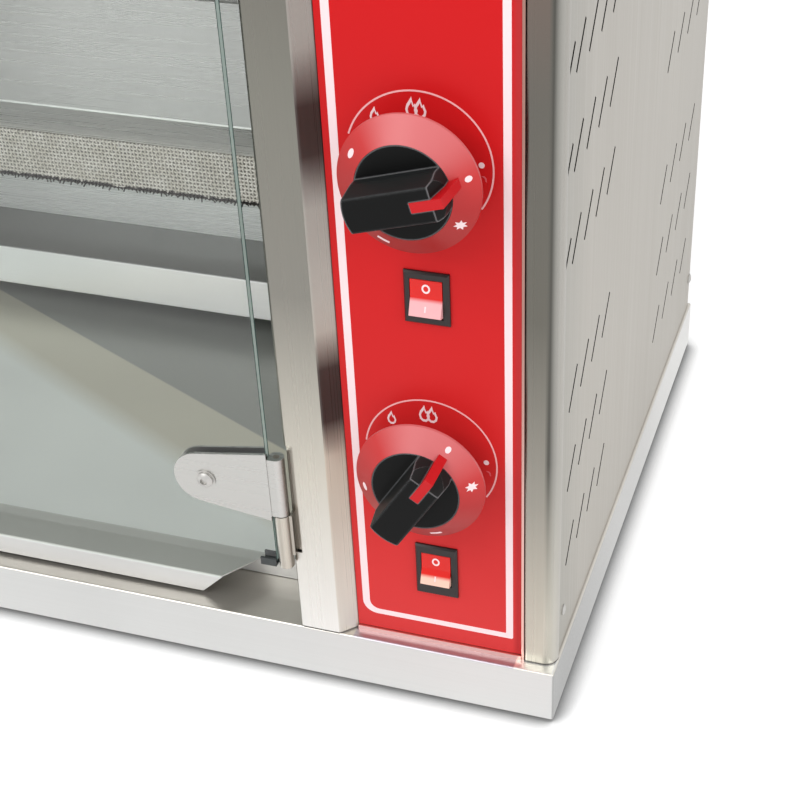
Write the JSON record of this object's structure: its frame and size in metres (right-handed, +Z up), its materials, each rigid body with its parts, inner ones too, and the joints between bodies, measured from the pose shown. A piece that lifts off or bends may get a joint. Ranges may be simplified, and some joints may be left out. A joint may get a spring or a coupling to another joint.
{
  "type": "skewer grill",
  "caption": "Countertop skewer grill: steel cabinet with hinged glass doors, red control panel, knobs, rocker switches, radiant burners, motor-driven spit and slide-out drip tray.",
  "frame": {"origin": "under the middle of the object's bounding box, on the surface its feet stand on", "axes": "+X to the right seen from the front, +Y to the back, +Z up; the doors and the control panel face -Y"},
  "size_m": [0.86, 0.528, 0.574],
  "materials": {
    "stainless": "brushed",
    "stainless_inner": "satin",
    "panel_red": "gloss",
    "knob_red": "satin",
    "knob_black": "satin",
    "switch_black": "gloss",
    "switch_red": "translucent gloss",
    "glass": "clear",
    "hinge_steel": "satin",
    "polished": "polished",
    "rubber": "matt",
    "ceramic": "matt",
    "mesh_wire": "heat dulled",
    "brass": "satin",
    "motor_grey": "satin"
  },
  "bodies": {
    "cabinet": {"plinth": "stainless", "feet": "rubber", "side_panel_right": "stainless", "side_panel_left": "stainless", "back_panel": "stainless", "top_cover": "stainless", "corner_column": "stainless", "door_post_right": "stainless", "door_post_left": "stainless", "header_rail": "stainless", "cabinet_screws": "polished", "control_panel": "panel_red", "panel_frame": "stainless", "gas_manifold": "brass", "gas_tubes": "brass", "chamber_back": "stainless_inner", "chamber_right": "stainless_inner", "chamber_left": "stainless_inner", "chamber_ceiling": "stainless_inner", "ledge": "stainless_inner", "tray_guides": "stainless_inner", "motor_bracket": "stainless_inner", "skewer_cradles": "stainless_inner", "cable_gland": "switch_black", "ceramic_plaques": "ceramic", "hinge_leaves": "hinge_steel", "burner_hoods": "stainless_inner", "burner_bodies": "stainless_inner", "burner_meshes": "mesh_wire", "switch_housings": "switch_black", "gas_valve_lower": "brass", "gas_valve_upper": "brass", "gear_motor_lower": "motor_grey", "gear_motor_upper": "motor_grey"},
    "door_right": {"door_glass_right": "glass", "hinge_plates_right": "hinge_steel", "hinge_screws_right": "polished", "door_shoe_right": "rubber", "door_handle_right": "polished"},
    "door_left": {"door_glass_left": "glass", "hinge_plates_left": "hinge_steel", "hinge_screws_left": "polished", "door_shoe_left": "rubber", "door_handle_left": "polished"},
    "tray": {"drip_tray": "stainless_inner"},
    "stem_upper": {"valve_stem_upper": "brass"},
    "knob_upper": {"knob_skirt_upper": "knob_red", "knob_grip_upper": "knob_black", "knob_pointer_upper": "knob_red"},
    "rocker_upper": {"switch_rocker_upper": "switch_red"},
    "drive_upper": {"drive_socket_upper": "polished"},
    "stem_lower": {"valve_stem_lower": "brass"},
    "knob_lower": {"knob_skirt_lower": "knob_red", "knob_grip_lower": "knob_black", "knob_pointer_lower": "knob_red"},
    "rocker_lower": {"switch_rocker_lower": "switch_red"},
    "drive_lower": {"drive_socket_lower": "polished"},
    "skewer": {"skewer_rod": "polished", "skewer_forks": "polished"}
  },
  "joints": [
    {"name": "door_right_swing", "type": "hinge", "parent": "cabinet", "child": "door_right", "pos_m": [0.2643, -0.228, 0.131], "axis": [0, 0, 1], "range_deg": [0, 110]},
    {"name": "door_left_swing", "type": "hinge", "parent": "cabinet", "child": "door_left", "pos_m": [-0.3668, -0.228, 0.131], "axis": [0, 0, -1], "range_deg": [0, 110]},
    {"name": "tray_slide", "type": "slide", "parent": "cabinet", "child": "tray", "axis": [0, -1, 0], "range_m": [0, 0.25]},
    {"name": "knob_upper_push", "type": "slide", "parent": "cabinet", "child": "stem_upper", "axis": [0, 1, 0], "range_m": [0, 0.004], "stiffness_N_per_m": 2000},
    {"name": "knob_upper_turn", "type": "hinge", "parent": "stem_upper", "child": "knob_upper", "pos_m": [0.3552, -0.2157, 0.361], "axis": [0, -1, 0], "range_deg": [0, 227]},
    {"name": "rocker_upper_tilt", "type": "hinge", "parent": "cabinet", "child": "rocker_upper", "pos_m": [0.356, -0.2145, 0.2859], "axis": [1, 0, 0], "range_deg": [0, 24]},
    {"name": "drive_upper_turn", "type": "hinge", "parent": "cabinet", "child": "drive_upper", "pos_m": [0.27, -0.025, 0.408], "axis": [1, 0, 0], "continuous": true},
    {"name": "knob_lower_push", "type": "slide", "parent": "cabinet", "child": "stem_lower", "axis": [0, 1, 0], "range_m": [0, 0.004], "stiffness_N_per_m": 2000},
    {"name": "knob_lower_turn", "type": "hinge", "parent": "stem_lower", "child": "knob_lower", "pos_m": [0.3545, -0.2157, 0.178], "axis": [0, -1, 0], "range_deg": [-40, 187]},
    {"name": "rocker_lower_tilt", "type": "hinge", "parent": "cabinet", "child": "rocker_lower", "pos_m": [0.3558, -0.2145, 0.0997], "axis": [1, 0, 0], "range_deg": [0, 24]},
    {"name": "drive_lower_turn", "type": "hinge", "parent": "cabinet", "child": "drive_lower", "pos_m": [0.27, -0.025, 0.213], "axis": [1, 0, 0], "continuous": true},
    {"name": "skewer_turn", "type": "hinge", "parent": "cabinet", "child": "skewer", "pos_m": [0.13, -0.025, 0.408], "axis": [1, 0, 0], "continuous": true}
  ],
  "couplings": [
    {"joint": "drive_upper_turn", "follows": "skewer_turn", "ratio": 1}
  ]
}
